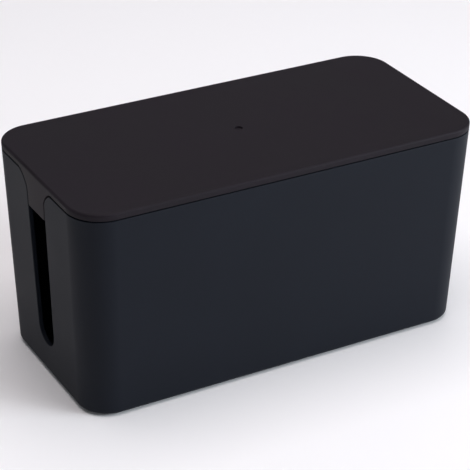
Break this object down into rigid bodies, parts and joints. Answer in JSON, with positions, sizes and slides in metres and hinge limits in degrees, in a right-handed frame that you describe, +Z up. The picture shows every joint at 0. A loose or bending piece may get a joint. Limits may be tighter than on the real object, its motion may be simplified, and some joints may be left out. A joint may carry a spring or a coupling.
{
  "type": "cable management box",
  "caption": "Rectangular lidded box with rounded corners that hides a power strip; cables leave by a tall slot in each end wall.",
  "frame": {"origin": "on the table, under the middle of the box", "axes": "+X along the length to the right end, +Y from the front to the back, +Z up"},
  "size_m": [0.2348, 0.1138, 0.12],
  "materials": {
    "tray_plastic": "fine spark-eroded texture, satin",
    "lid_plastic": "fine spark-eroded texture, satin",
    "foot_rubber": "matt moulded rubber",
    "foot_adhesive": "translucent acrylic adhesive"
  },
  "bodies": {
    "base": {"tray": "tray_plastic", "foot_adhesive_discs": "foot_adhesive", "foot_front_left": "foot_rubber", "foot_front_right": "foot_rubber", "foot_back_left": "foot_rubber", "foot_back_right": "foot_rubber"},
    "cover": {"lid": "lid_plastic"}
  },
  "joints": [
    {"name": "lid_lift", "type": "slide", "parent": "base", "child": "cover", "axis": [0, 0, 1], "range_m": [0, 0.12]}
  ]
}
